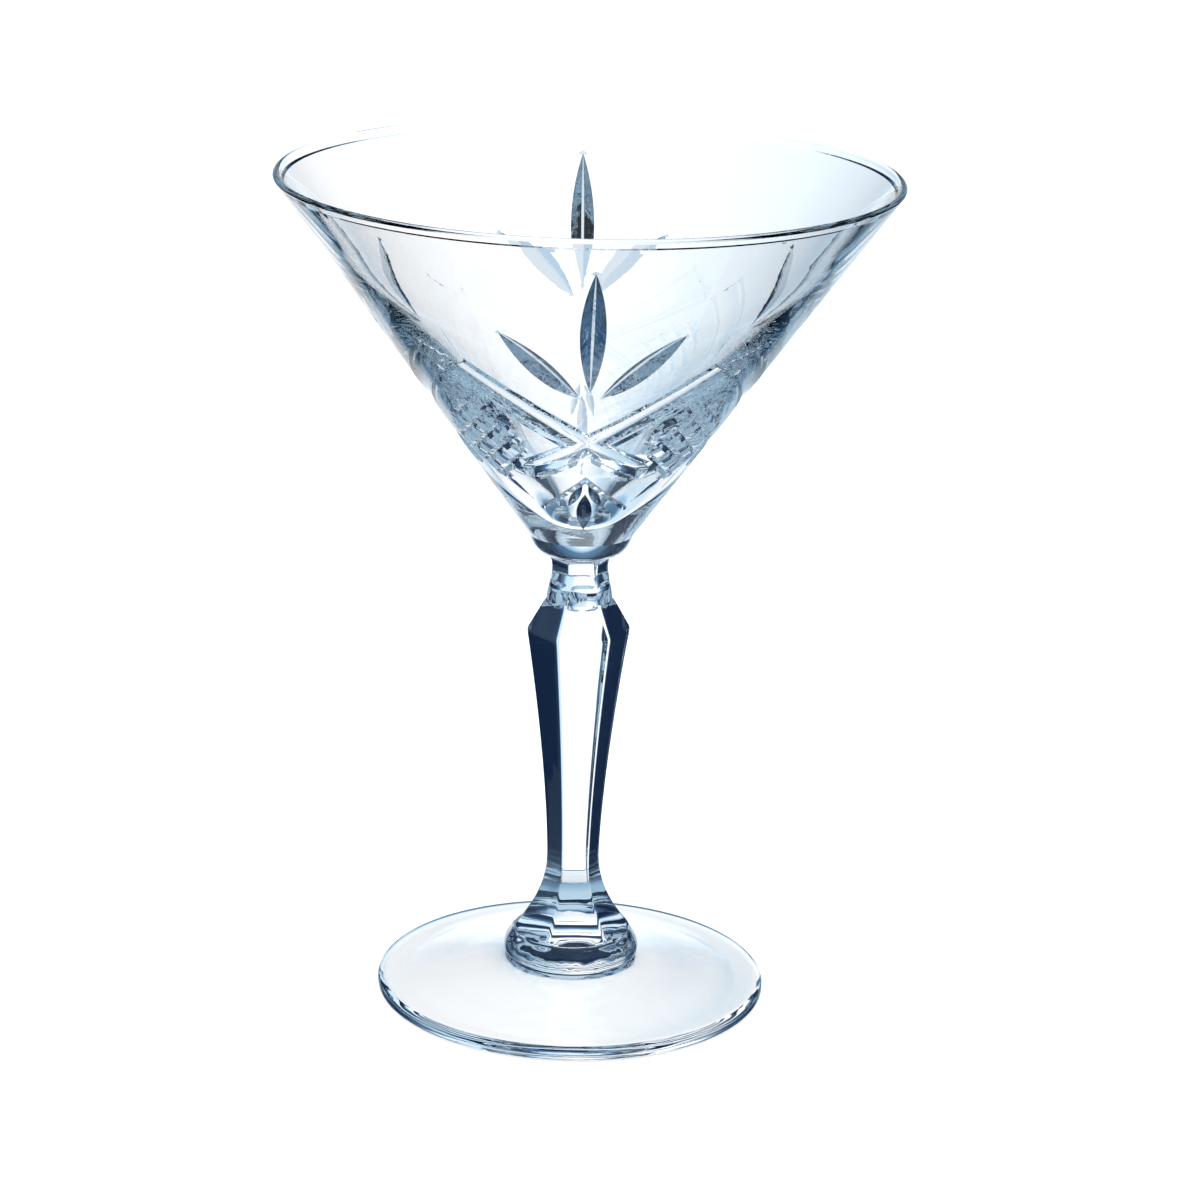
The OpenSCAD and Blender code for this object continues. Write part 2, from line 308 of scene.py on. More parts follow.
@dataclass(frozen=True)
class GlassFinish:
    """One finish of clear glass; its tint is the glass's own faint colour, and painted shade in the leaf cut,
    line cut and foot disc finishes.
    """

    name: str
    tint_and_painted_shade: Colour = (0.985, 0.994, 1.0)
    ior: float = 1.52
    wave_scale: float = 45.0
    wave_height: float = 1.0
    ripple_scale: float = 420.0
    ripple_height: float = 0.04
    mark_scale: float = 900.0
    base_haze: float = 0.0
    mark_haze: float = 0.01
    relief: float = 0.00008
    far_fade: float = 0.0
    edge_fade: float = 0.0
    edge_span: Point = (0.5, 0.72)
    far_depth: float = 1.5
    inside_fade: bool = False

    def material(self) -> bpy.types.Material:
        """Makes the material, or returns it if it is there.

        Returns:
            A node material with plain transmission, and haze and relief from the shared group.
        """
        found = bpy.data.materials.get(self.name)
        if found is not None:
            return found
        made = bpy.data.materials.new(self.name)
        made.use_nodes = True
        tree = made.node_tree
        shader = tree.nodes["Principled BSDF"]
        # Base colour from the tint: the glass's own faint colour, and painted shade where a finish sets a
        # darker tint.
        shader.inputs["Base Color"].default_value = (*self.tint_and_painted_shade, 1.0)
        shader.inputs["Metallic"].default_value = 0.0
        shader.inputs["IOR"].default_value = self.ior
        shader.inputs["Transmission Weight"].default_value = 1.0
        group = tree.nodes.new("ShaderNodeGroup")
        group.node_tree = WearGroup().build()
        for socket, value in (
            ("Wave Scale", self.wave_scale),
            ("Wave Height", self.wave_height),
            ("Ripple Scale", self.ripple_scale),
            ("Ripple Height", self.ripple_height),
            ("Mark Scale", self.mark_scale),
            ("Base Haze", self.base_haze),
            ("Mark Haze", self.mark_haze),
        ):
            group.inputs[socket].default_value = value
        relief = {"Height": group.outputs["Height"], "Strength": 1.0, "Distance": self.relief}
        normal = add_node(tree, "ShaderNodeBump", relief).outputs["Normal"]
        if self.far_fade > 0.0:
            normal = self._ease(tree, normal)
        feed(tree, shader.inputs["Roughness"], group.outputs["Haze"])
        feed(tree, shader.inputs["Normal"], normal)
        return made

    def _ease(self, tree: Tree, normal: Socket) -> Socket:
        """Softens a cut on the far side of the bowl, and where it is seen at a slant.

        Args:
            tree: The material's nodes.
            normal: The normal with the finish's relief.

        Returns:
            The eased normal.
        """
        side = tree.nodes.new("ShaderNodeNewGeometry").outputs
        if self.inside_fade:
            far = side["Backfacing"]
        else:
            deep = tree.nodes.new("ShaderNodeLightPath").outputs["Transmission Depth"]
            far = reckon(tree, "GREATER_THAN", deep, self.far_depth)
        plain = ConeNormalGroup().place(tree, side["Normal"], side["Backfacing"], 1.0)
        slant = add_node(tree, "ShaderNodeLayerWeight", {"Blend": 0.5, "Normal": plain}).outputs["Facing"]
        turned = spread(tree, slant, *self.edge_span, self.edge_fade)
        share = reckon(tree, "MAXIMUM", reckon(tree, "MULTIPLY", far, self.far_fade), turned)
        return ConeNormalGroup().place(tree, normal, side["Backfacing"], share)


@dataclass(frozen=True)
class FusedJoint:
    """The face where two pieces of hot glass have run together: light passes it unchanged."""

    name: str = "fused_joint"

    def material(self) -> bpy.types.Material:
        """Makes the clear joint material, or returns it if it is there.

        Returns:
            A material that lets all light through.
        """
        found = bpy.data.materials.get(self.name)
        if found is not None:
            return found
        made = bpy.data.materials.new(self.name)
        made.use_nodes = True
        shader = made.node_tree.nodes["Principled BSDF"]
        shader.inputs["Alpha"].default_value = 0.0
        shader.inputs["Roughness"].default_value = 0.0
        return made


BLOWN = GlassFinish("fire_polished_glass", wave_scale=38.0, relief=0.00006)
# Painted shade: the dark blue-grey tint darkens the clear leaf cuts as the dark surround they refract would.
LEAF_CUT_PAINTED_SHADE = GlassFinish(
    "leaf_cut_glass_painted_shade", tint_and_painted_shade=(0.42, 0.48, 0.55), ior=1.85, wave_scale=260.0,
    ripple_scale=1500.0, ripple_height=0.15, mark_haze=0.03,
    relief=0.00025, far_fade=0.7, edge_fade=0.7,
)
# Painted shade: the faint grey-blue tint makes the clear line cuts a little darker.
LINE_CUT_PAINTED_SHADE = GlassFinish(
    "line_cut_glass_painted_shade", tint_and_painted_shade=(0.93, 0.96, 0.98), wave_scale=200.0, wave_height=0.6,
    ripple_scale=1500.0, ripple_height=0.06, mark_haze=0.02,
    relief=0.00003, far_fade=0.88, edge_fade=0.15, inside_fade=True,
)
LIP = GlassFinish("fire_polished_lip", ior=1.2, wave_height=0.2, ripple_height=0.0, relief=0.00001)
PRESSED = GlassFinish("pressed_glass", wave_scale=90.0)
# Painted shade: the grey tint stands in for the soft shade seen through the foot, since the glass casts no
# shadow on the floor.
DISC_PAINTED_SHADE = GlassFinish("pressed_disc_glass_painted_shade", tint_and_painted_shade=(0.90, 0.925, 0.94), wave_scale=90.0)
EDGE = GlassFinish("pressed_edge_glass", ior=1.2, wave_scale=90.0, wave_height=0.5, relief=0.00002)
RIPPLED = GlassFinish("pressed_ripple_glass", wave_scale=170.0, relief=0.0008)
JOINT = FusedJoint()


class Face(Enum):
    """Material slots of a glass piece."""

    SKIN = 0
    FUSED = 1
    LEAF = 2
    LINE = 3
    LIP = 4


# ---------------------------------------------------------------- mesh helpers


@dataclass
class Shell:
    """Vertices and faces being gathered for one piece, in millimetres."""

    points: List[Tuple[float, float, float]] = field(default_factory=list)
    faces: List[Tuple[int, ...]] = field(default_factory=list)
    kinds: List[int] = field(default_factory=list)

    def add(self, points: Array, faces: Sequence[Sequence[int]], kinds: Sequence[int]) -> None:
        """Adds a patch.

        Args:
            points: The patch's vertices, n by 3.
            faces: Vertex numbers of each face within the patch.
            kinds: The Face value of each face.
        """
        start = len(self.points)
        self.points.extend(tuple(map(float, p)) for p in points)
        self.faces.extend(tuple(int(i) + start for i in f) for f in faces)
        self.kinds.extend(int(k) for k in kinds)

    def piece(self, name: str, sharp: float, skins: Sequence[bpy.types.Material]) -> bpy.types.Object:
        """Welds the patches and makes the object.

        Args:
            name: The object's name.
            sharp: Edges that turn by more than this many degrees stay crisp.
            skins: The materials in Face order.

        Returns:
            The new object, linked to the scene.
        """
        mesh = bpy.data.meshes.new(name)
        mesh.from_pydata([tuple(c * MM for c in p) for p in self.points], [], self.faces)
        for skin in skins:
            mesh.materials.append(skin)
        mesh.polygons.foreach_set("material_index", self.kinds)
        work = bmesh.new()
        work.from_mesh(mesh)
        bmesh.ops.remove_doubles(work, verts=work.verts, dist=WELD)
        bmesh.ops.dissolve_degenerate(work, edges=work.edges, dist=SPECK)
        bmesh.ops.recalc_face_normals(work, faces=work.faces)
        open_edges = sum(1 for e in work.edges if not e.is_manifold)
        work.to_mesh(mesh)
        work.free()
        mesh.shade_smooth()
        mesh.set_sharp_from_angle(angle=math.radians(sharp))
        made = bpy.data.objects.new(name, mesh)
        bpy.context.scene.collection.objects.link(made)
        LOG.info("%s: %d faces, %d open edges", name, len(mesh.polygons), open_edges)
        return made


def turned_patch(line: Line, segments: int, kinds: Sequence[int]) -> Patch:
    """Turns a side line about the upright axis.

    Args:
        line: [radius, height] points. A radius of zero makes one middle vertex.
        segments: Number of steps round the axis.
        kinds: The Face value of each span of the line.

    Returns:
        Vertices, faces and the faces' kinds.
    """
    angle = np.arange(segments) * (2 * math.pi / segments) - math.pi / 2
    points: List[Tuple[float, float, float]] = []
    rows: List[List[int]] = []
    for radius, height in line:
        if radius < 1e-6:
            rows.append([len(points)] * segments)
            points.append((0.0, 0.0, height))
        else:
            rows.append(list(range(len(points), len(points) + segments)))
            points.extend(zip(radius * np.cos(angle), radius * np.sin(angle), [height] * segments))
    faces: List[Tuple[int, ...]] = []
    found: List[int] = []
    for low, high, kind in zip(rows[:-1], rows[1:], kinds):
        for i in range(segments):
            j = (i + 1) % segments
            corners = [low[i], low[j], high[j], high[i]]
            face = tuple(dict.fromkeys(corners))
            if len(face) > 2:
                faces.append(face)
                found.append(kind)
    return np.array(points), faces, found


def arc(cx: float, cz: float, radius: float, start: float, end: float, steps: int) -> Line:
    """Points of an arc in the side drawing.

    Args:
        cx: Radius coordinate of the centre.
        cz: Height of the centre.
        radius: The arc's radius.
        start: First angle in degrees, 0 outwards and 90 up.
        end: Last angle in degrees.
        steps: Number of steps.

    Returns:
        The arc's points, both ends included.
    """
    turn = np.radians(np.linspace(start, end, steps + 1))
    return [(cx + radius * math.cos(t), cz + radius * math.sin(t)) for t in turn]


def smooth_line(points: Line, spacing: float) -> Line:
    """Runs a soft curve through side-drawing points.

    Args:
        points: Points to pass through.
        spacing: Distance between the new points.

    Returns:
        Points on a centripetal curve.
    """
    done: Line = []
    first = (2 * points[0][0] - points[1][0], 2 * points[0][1] - points[1][1])
    last = (2 * points[-1][0] - points[-2][0], 2 * points[-1][1] - points[-2][1])
    held = [first, *points, last]
    for a, b, c, d in zip(held[:-3], held[1:-2], held[2:-1], held[3:]):
        count = max(2, int(math.dist(b, c) / spacing))
        for i in range(count):
            done.append(_catmull(a, b, c, d, i / count))
    done.append(points[-1])
    return done


def _catmull(a: Point, b: Point, c: Point, d: Point, t: float) -> Point:
    """One point of a centripetal Catmull-Rom span between b and c.

    Args:
        a: Point before the span.
        b: Start of the span.
        c: End of the span.
        d: Point after the span.
        t: Share of the way from b to c.

    Returns:
        The point.
    """
    p = [np.array(q, float) for q in (a, b, c, d)]
    k = [0.0]
    for u, v in zip(p[:-1], p[1:]):
        k.append(k[-1] + max(1e-6, float(np.linalg.norm(v - u))) ** 0.5)
    x = k[1] + (k[2] - k[1]) * t

    def between(start: int, end: int, first: Array, second: Array) -> Array:
        """Mix of two points, by where x stands between two knots."""
        span = k[end] - k[start]
        return (k[end] - x) / span * first + (x - k[start]) / span * second

    a1, a2, a3 = (between(i, i + 1, p[i], p[i + 1]) for i in range(3))
    out = between(1, 2, between(0, 2, a1, a2), between(1, 3, a2, a3))
    return float(out[0]), float(out[1])


def settle(piece: bpy.types.Object, *nodes: str) -> bpy.types.Object:
    """Puts a finished piece in the frame.

    Args:
        piece: The piece, already in place.
        nodes: The CAD nodes that it stands for.

    Returns:
        The piece.
    """
    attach(piece, ROOT)
    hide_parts(*nodes)
    piece.visible_shadow = False
    return piece


# ---------------------------------------------------------------- foot and base button


@dataclass
class Foot:
    """The round foot, raised to the middle and hollowed underneath."""

    radius: float = 37.7
    edge: float = 2.8
    edge_round: float = 1.1
    middle: float = 7.0
    joint_radius: float = 12.3
    ring: float = 4.0
    hollow: float = 4.0

    def build(self) -> bpy.types.Object:
        """Builds and places the foot.

        Returns:
            The piece foot_glass.
        """
        flat = self.radius - self.edge_round
        ring = flat - self.ring
        under = smooth_line(
            [
                (0.0, self.hollow),
                (ring * 0.25, self.hollow * 0.92),
                (ring * 0.5, self.hollow * 0.68),
                (ring * 0.75, self.hollow * 0.345),
                (ring * 0.93, self.hollow * 0.09),
                (ring, 0.0),
            ],
            1.0,
        )
        lower = arc(flat, self.edge_round, self.edge_round, -90, 0, 8)
        upper = arc(flat, self.edge - self.edge_round, self.edge_round, 0, 82, 8)
        rise = smooth_line(
            [
                upper[-1],
                (ring + 1.0, self.edge + 0.03),
                (ring * 0.93, self.edge + 0.38),
                (ring * 0.75, self.edge + 1.48),
                (ring * 0.5, self.edge + 2.95),
                (self.joint_radius + 1.3, self.edge + 3.55),
                (self.joint_radius + 0.3, self.middle - 0.3),
                (self.joint_radius, self.middle),
            ],
            0.9,
        )
        line = under + lower + upper + rise[1:] + [(0.0, self.middle)]
        kinds = [Face.SKIN.value] * (len(line) - 2) + [Face.FUSED.value]
        for place in range(len(under), len(under) + len(lower) + len(upper) - 1):
            kinds[place] = THIRD_SKIN
        shell = Shell()
        shell.add(*turned_patch(line, 192, kinds))
        # The foot's disc finish carries painted shade in its grey tint.
        piece = shell.piece("foot_glass", 35.0, [DISC_PAINTED_SHADE.material(), JOINT.material(), EDGE.material()])
        return settle(piece, "foot")


@dataclass
class BaseButton:
    """The round cushion between the foot and the stem."""

    foot_radius: float = 12.3
    radius: float = 13.1
    top_radius: float = 11.2
    bottom: float = 7.0
    height: float = 5.1
    wide_at: float = 1.6

    def build(self) -> bpy.types.Object:
        """Builds and places the button.

        Returns:
            The piece base_button_glass.
        """
        top = self.bottom + self.height
        side = smooth_line(
            [
                (self.foot_radius, self.bottom),
                (self.foot_radius + 0.58, self.bottom + 0.5),
                (self.radius - 0.02, self.bottom + self.wide_at),
                (self.radius - 0.32, self.bottom + 2.9),
                (self.radius - 1.05, self.bottom + 4.1),
                (self.top_radius + 0.3, top - 0.2),
                (self.top_radius, top),
            ],
            0.22,
        )
        side = [(min(r, self.radius), min(max(z, self.bottom), top)) for r, z in side]
        line = [(0.0, self.bottom)] + side + [(0.0, top)]
        kinds = [Face.FUSED.value] + [Face.SKIN.value] * (len(side) - 1) + [Face.FUSED.value]
        shell = Shell()
        shell.add(*turned_patch(line, 160, kinds))
        piece = shell.piece("base_button_glass", 35.0, [RIPPLED.material(), JOINT.material()])
        return settle(piece, "base_button")


# ---------------------------------------------------------------- stem and neck


@dataclass
class SixSided:
    """Rings of a six-sided rod whose corners are softly rounded."""

    turn: float = 5.0
    flat_share: float = 0.9
    corner_share: float = 0.1
    flat_steps: int = 6
    corner_steps: int = 8

    def directions(self) -> int:
        """Number of points in one ring."""
        return 6 * (self.flat_steps + self.corner_steps)

    def ring(self, width: float, limit: float, roundness: float) -> Array:
        """Points of one level ring.

        Args:
            width: Half width over the corners.
            limit: The ring is trimmed to this radius.
            roundness: 0 for six flats, 1 for a true circle of the half width.

        Returns:
            The ring's points, n by 2.
        """
        apothem = self.flat_share * width
        corner = min(self.corner_share * width, apothem * 0.9)
        half = (apothem - corner) * math.tan(math.radians(30.0))
        points: Line = []
        for side in range(6):
            base = math.radians(self.turn + 60.0 * side - 90.0)
            out = (math.cos(base), math.sin(base))
            along = (-out[1], out[0])
            for i in range(self.flat_steps):
                t = -half + 2 * half * i / self.flat_steps
                points.append((out[0] * apothem + along[0] * t, out[1] * apothem + along[1] * t))
            mid_x = out[0] * (apothem - corner) + along[0] * half
            mid_y = out[1] * (apothem - corner) + along[1] * half
            for i in range(self.corner_steps):
                t = base + math.radians(60.0) * i / self.corner_steps
                points.append((mid_x + corner * math.cos(t), mid_y + corner * math.sin(t)))
        ring = np.array(points)
        reach = np.hypot(ring[:, 0], ring[:, 1])
        wanted = np.minimum(reach, limit)
        wanted = wanted * (1 - roundness) + np.minimum(width, limit) * roundness
        return ring * (wanted / reach)[:, None]

    def patch(self, rows: Sequence[Tuple[float, float, float, float]]) -> Patch:
        """Joins rings into a closed rod with a fused face at each end.

        Args:
            rows: Half width, height, trimming radius and roundness of each ring, from the bottom up.

        Returns:
            Vertices, faces and the faces' kinds.
        """
        count = self.directions()
        points = [(0.0, 0.0, rows[0][1])]
        for width, height, limit, roundness in rows:
            points.extend((x, y, height) for x, y in self.ring(width, limit, roundness))
        points.append((0.0, 0.0, rows[-1][1]))
        faces: List[Tuple[int, ...]] = []
        found: List[int] = []
        last = 1 + (len(rows) - 1) * count
        for i in range(count):
            j = (i + 1) % count
            faces.append((0, 1 + j, 1 + i))
            found.append(Face.FUSED.value)
            for level in range(len(rows) - 1):
                low, high = 1 + level * count, 1 + (level + 1) * count
                faces.append((low + i, low + j, high + j, high + i))
                found.append(Face.SKIN.value)
            faces.append((last + i, last + j, len(points) - 1))
            found.append(Face.FUSED.value)
        return np.array(points), faces, found


@dataclass
class Stem:
    """The six-sided stem: flare, waist, long taper, shoulder and the slope above it."""

    bottom: float = 12.1
    top: float = 79.6
    flare: float = 11.1
    flare_extra: float = 0.6
    flare_height: float = 15.6
    flare_curve: float = 2.2
    waist: float = 4.95
    taper_curve: float = 1.5
    shoulder: float = 9.7
    shoulder_height: float = 6.1
    shoulder_soft: float = 0.10
    shoulder_zone: float = 1.2
    top_width: float = 6.3
    form: SixSided = field(default_factory=SixSided)

    def width(self, height: float) -> float:
        """Half width over the corners.

        Args:
            height: Height above the table.

        Returns:
            The half width at that height.
        """
        flare_top = self.bottom + self.flare_height
        shoulder_at = self.top - self.shoulder_height
        if height <= flare_top:
            t = (flare_top - height) / self.flare_height
            return self.waist + (self.flare + self.flare_extra - self.waist) * t**self.flare_curve
        if height <= shoulder_at:
            t = (height - flare_top) / (shoulder_at - flare_top)
            return self.waist + (self.shoulder - self.waist) * t**self.taper_curve
        t = (height - shoulder_at) / self.shoulder_height
        return self.shoulder + (self.top_width - self.shoulder) * t

    def build(self) -> bpy.types.Object:
        """Builds and places the stem.

        Returns:
            The piece stem_glass.
        """
        shoulder_at = self.top - self.shoulder_height
        heights = list(np.arange(self.bottom, shoulder_at - self.shoulder_zone, 0.55))
        heights += list(np.arange(shoulder_at - self.shoulder_zone, shoulder_at + self.shoulder_zone, 0.12))
        heights += list(np.linspace(shoulder_at + self.shoulder_zone, self.top, 14))
        rows = []
        for height in heights:
            near = abs(height - shoulder_at)
            soft = max(0.0, 1.0 - near / 0.9) ** 2 * self.shoulder_soft
            width = self.width(height) - soft
            low = max(0.0, 1.0 - (height - self.bottom) / 0.5)
            high = max(0.0, 1.0 - (self.top - height) / 0.7)
            limit = self.flare + max(0.0, height - self.bottom) * 0.25
            limit = min(limit, self.top_width + (self.top - height) * 1.5)
            rows.append((width, float(height), limit, max(low * 0.85, high)))
        rows[0] = (self.flare, self.bottom, self.flare, 1.0)
        rows[-1] = (self.top_width, self.top, self.top_width, 1.0)
        shell = Shell()
        shell.add(*self.form.patch(rows))
        piece = shell.piece("stem_glass", 30.0, [PRESSED.material(), JOINT.material()])
        return settle(piece, "stem")


@dataclass
class Neck:
    """The round ring and the short six-sided neck between the stem and the bowl."""

    bottom: float = 79.6
    top: float = 88.7
    bottom_radius: float = 6.3
    ring_height: float = 3.3
    ring_top: float = 5.7
    ring_swell: float = 0.12
    narrow: float = 5.25
    top_radius: float = 6.4
    form: SixSided = field(default_factory=SixSided)

    def build(self) -> bpy.types.Object:
        """Builds and places the neck.

        Returns:
            The piece neck_glass.
        """
        rows = []
        ring_at = self.bottom + self.ring_height
        for height in np.linspace(self.bottom, ring_at, 9):
            t = (height - self.bottom) / self.ring_height
            radius = self.bottom_radius + (self.ring_top - self.bottom_radius) * t
            radius += self.ring_swell * math.sin(math.pi * t)
            rows.append((radius, float(height), radius, 1.0))
        for height in np.linspace(ring_at, self.top, 32)[1:]:
            t = (height - ring_at) / (self.top - ring_at)
            width = self.narrow + (self.ring_top - self.narrow) * (1 - 2 * min(t, 0.5)) ** 2
            width += (self.top_radius - self.narrow) * (2 * max(t, 0.5) - 1) ** 2.4
            low = max(0.0, 1.0 - t / 0.09)
            high = max(0.0, 1.0 - (1 - t) / 0.12)
            rows.append((width, float(height), 99.0, min(1.0, low + high)))
        rows[-1] = (self.top_radius, self.top, self.top_radius, 1.0)
        shell = Shell()
        shell.add(*self.form.patch(rows))
        piece = shell.piece("neck_glass", 24.0, [PRESSED.material(), JOINT.material()])
        return settle(piece, "neck")


# ---------------------------------------------------------------- bowl


@dataclass
class Cone:
    """The straight outer cone of the bowl, heights counted from the bowl's own bottom."""

    foot_radius: float = 10.0
    low: float = 3.9
    high: float = 72.05
    lip_radius: float = 58.48

    @property
    def slope(self) -> float:
        """Change of radius for each millimetre of height."""
        return (self.lip_radius - self.foot_radius) / (self.high - self.low)

    @property
    def tilt(self) -> float:
        """Half angle of the cone in radians."""
        return math.atan(self.slope)

    def radius(self, up: Array) -> Array:
        """Radius of the cone at a height."""
        return self.foot_radius + self.slope * (up - self.low)

    def place(self, az: Array, up: Array, depth: Array) -> Array:
        """Points on or under the cone's face.

        Args:
            az: Angle round the bowl, 0 at the front, in radians.
            up: Height above the bowl's bottom.
            depth: Depth under the face, square to it.

        Returns:
            Points, n by 3.
        """
        reach = self.radius(up) - depth * math.cos(self.tilt)
        high = up + depth * math.sin(self.tilt)
        return np.stack([reach * np.sin(az), -reach * np.cos(az), high], axis=-1)

    def unroll(self, az: Array, up: Array) -> Array:
        """The cone's face laid flat, with true distances.

        Args:
            az: Angle round the bowl, in radians.
            up: Height above the bowl's bottom.

        Returns:
            Points of the flat drawing, n by 2.
        """
        reach = self.radius(up) / math.sin(self.tilt)
        turn = az * math.sin(self.tilt)
        return np.stack([reach * np.sin(turn), reach * np.cos(turn)], axis=-1)

    def roll(self, flat: Array) -> Tuple[Array, Array]:
        """Rolls points of the flat drawing back on to the cone.

        Args:
            flat: Points of the flat drawing, n by 2.

        Returns:
            Their angles round the bowl and heights above the bowl's bottom.
        """
        reach = np.hypot(flat[:, 0], flat[:, 1])
        az = np.arctan2(flat[:, 0], flat[:, 1]) / math.sin(self.tilt)
        up = (reach * math.sin(self.tilt) - self.foot_radius) / self.slope + self.low
        return az, up

    def front(self, x: Array, up: Array) -> Array:
        """Angle round the bowl of points given in the front drawing."""
        return np.arcsin(np.clip(x / self.radius(up), -1.0, 1.0))


@dataclass
class WheelCut:
    """A leaf ground by a wheel with a V edge."""

    cone: Cone
    az: float
    up: float
    lean: float
    length: float
    width: float
    depth: float
    land: float = 0.0

    def _flat(self, s: Array) -> Array:
        """Half width of the narrow flat along the middle of the cut, drawn in to nothing at its ends."""
        return self.land / 2 * np.maximum(1.0 - (2 * s / self.length) ** 2, 0.0)

    def _axes(self) -> Tuple[Array, Array, Array, Array]:
        """The cut's own axes.

        Returns:
            Middle of the cut on the cone, and the outward, lengthwise and crosswise directions.
        """
        az, lean, tilt = math.radians(self.az), math.radians(self.lean), self.cone.tilt
        side = np.array([math.cos(az), math.sin(az), 0.0])
        away = np.array([math.sin(az), -math.cos(az), 0.0])
        out = away * math.cos(tilt) + np.array([0.0, 0.0, -math.sin(tilt)])
        rise = away * math.sin(tilt) + np.array([0.0, 0.0, math.cos(tilt)])
        middle = away * self.cone.radius(self.up) + np.array([0.0, 0.0, self.up])
        along = rise * math.cos(lean) + side * math.sin(lean)
        across = side * math.cos(lean) - rise * math.sin(lean)
        return middle, out, along, across

    def below(self, points: Array) -> Array:
        """Depth of the cut under points of the cone.

        Args:
            points: Points on the cone, n by 3.

        Returns:
            Depth square to the face at the cut's middle, 0 or less outside the cut.
        """
        middle, out, along, across = self._axes()
        offset = points - middle
        s, t, m = offset @ along, offset @ across, offset @ out
        wheel = self.length**2 / (8 * self.depth)
        edge = wheel - np.maximum(np.abs(t) - self._flat(s), 0.0) * 2 * self.depth / (self.width - self.land)
        hit = np.sqrt(np.maximum(edge**2 - s**2, 0.0))
        near = (np.abs(s) < self.length) & (np.abs(t) < self.width * 1.5) & (m > -8.0)
        return np.where(near, m - (wheel - self.depth) + hit, -1.0)

    def lines(self) -> List[Array]:
        """Outline and the sides of the middle flat.

        Returns:
            Lines of [angle, height] points.
        """
        run = np.linspace(-0.56, 0.56, 57) * self.length
        run = run[self.below(self._drop(run, np.zeros_like(run))) > 0.004]
        found = [self._spots(self._drop(run, side * self._flat(run))) for side in (-1.0, 1.0)]
        for side in (-1.0, 1.0):
            low, high = np.zeros_like(run), np.full_like(run, self.width)
            for _ in range(22):
                mid = (low + high) / 2
                inside = self.below(self._drop(run, side * mid)) > 0
                low, high = np.where(inside, mid, low), np.where(inside, high, mid)
            found.append(self._spots(self._drop(run, side * low)))
        for end in (0, -1):
            found.append(np.array([found[2][end], found[0][end]]))
            found.append(np.array([found[1][end], found[3][end]]))
        return found

    @staticmethod
    def _spots(points: Array) -> Array:
        """Angle and height of points, n by 2."""
        return np.stack([np.arctan2(points[:, 0], -points[:, 1]), points[:, 2]], axis=-1)

    def _drop(self, s: Array, t: Array) -> Array:
        """Points of the cone over (s, t) of the cut's own axes.

        Args:
            s: Distances along the cut.
            t: Distances across it.

        Returns:
            The points, n by 3.
        """
        middle, out, along, across = self._axes()
        points = middle + s[:, None] * along + t[:, None] * across
        for _ in range(8):
            gap = np.hypot(points[:, 0], points[:, 1]) - self.cone.radius(points[:, 2])
            points = points - gap[:, None] * math.cos(self.cone.tilt) * out
        return points


@dataclass
class LineCut:
    """A straight cut in the front drawing: a V line, or a shallow hollow with a round end."""

    cone: Cone
    az: float
    start: Point
    end: Point
    width: float
    depth: float
    hollow: bool = False
    round_start: bool = False
    round_end: bool = False
    deeper_start: float = 0.0
    within: Optional[Callable[[Array, Array], Array]] = None

    def _frame(self) -> Tuple[Array, Array, float]:
        """The cut's line in the front drawing.

        Returns:
            Start, unit direction and length.
        """
        start, end = np.array(self.start), np.array(self.end)
        length = float(np.linalg.norm(end - start))
        return start, (end - start) / length, length

    def below(self, points: Array) -> Array:
        """Depth of the cut under points of the cone.

        Args:
            points: Points on the cone, n by 3.

        Returns:
            The depth, 0 or less outside the cut.
        """
        az = math.radians(self.az)
        x = points[:, 0] * math.cos(az) + points[:, 1] * math.sin(az)
        front = points[:, 0] * math.sin(az) - points[:, 1] * math.cos(az) > 0
        z = points[:, 2]
        start, way, length = self._frame()
        u = (x - start[0]) * way[0] + (z - start[1]) * way[1]
        v = -(x - start[0]) * way[1] + (z - start[1]) * way[0]
        half = self.width / 2
        off = np.abs(v)
        if self.round_start:
            off = np.where(u < 0, np.hypot(u, v), off)
        if self.round_end:
            off = np.where(u > length, np.hypot(u - length, v), off)
        share = off / half
        if self.hollow:
            lift = 1.0 + self.deeper_start * np.clip(1.0 - u / (0.4 * length), 0.0, 1.0)
            deep = self.depth * lift * (1.0 - share**2)
        else:
            deep = self.depth * (1.0 - share)
        inside = front & (share < 1.0)
        if not self.round_start:
            inside &= u >= 0.0
        if not self.round_end:
            inside &= u <= length
        if self.within is not None:
            inside &= self.within(x, z)
        return np.where(inside, deep, -1.0)

    def lines(self) -> List[Array]:
        """Edges, middle and ends of the cut.

        Returns:
            Lines of [angle, height] points.
        """
        start, way, length = self._frame()
        across = np.array([-way[1], way[0]])
        steps = max(4, int(length / 0.5))
        drawn: List[Array] = []
        for side in (-1.0, 0.0, 1.0) if not self.hollow else (-1.0, 1.0):
            t = np.linspace(0.0, length, steps + 1)[:, None]
            drawn.append(start + way * t + across * side * self.width / 2)
        ends = ((self.round_start, start, -1.0), (self.round_end, start + way * length, 1.0))
        for is_round, centre, sign in ends:
            if is_round:
                turn = np.radians(np.linspace(-90.0, 90.0, 19))[:, None]
                drawn.append(centre + (way * sign * np.cos(turn) + across * np.sin(turn)) * self.width / 2)
            else:
                t = np.linspace(-1.0, 1.0, 9)[:, None]
                drawn.append(centre + across * t * self.width / 2)
        found = []
        for line in drawn:
            keep = np.ones(len(line), bool)
            if self.within is not None:
                keep = self.within(line[:, 0], line[:, 1])
            az = self.cone.front(line[:, 0], line[:, 1]) + math.radians(self.az)
            pair = np.stack([az, line[:, 1]], axis=-1)[keep]
            if len(pair) > 1:
                found.append(pair)
        return found


Cut = Union[WheelCut, LineCut]


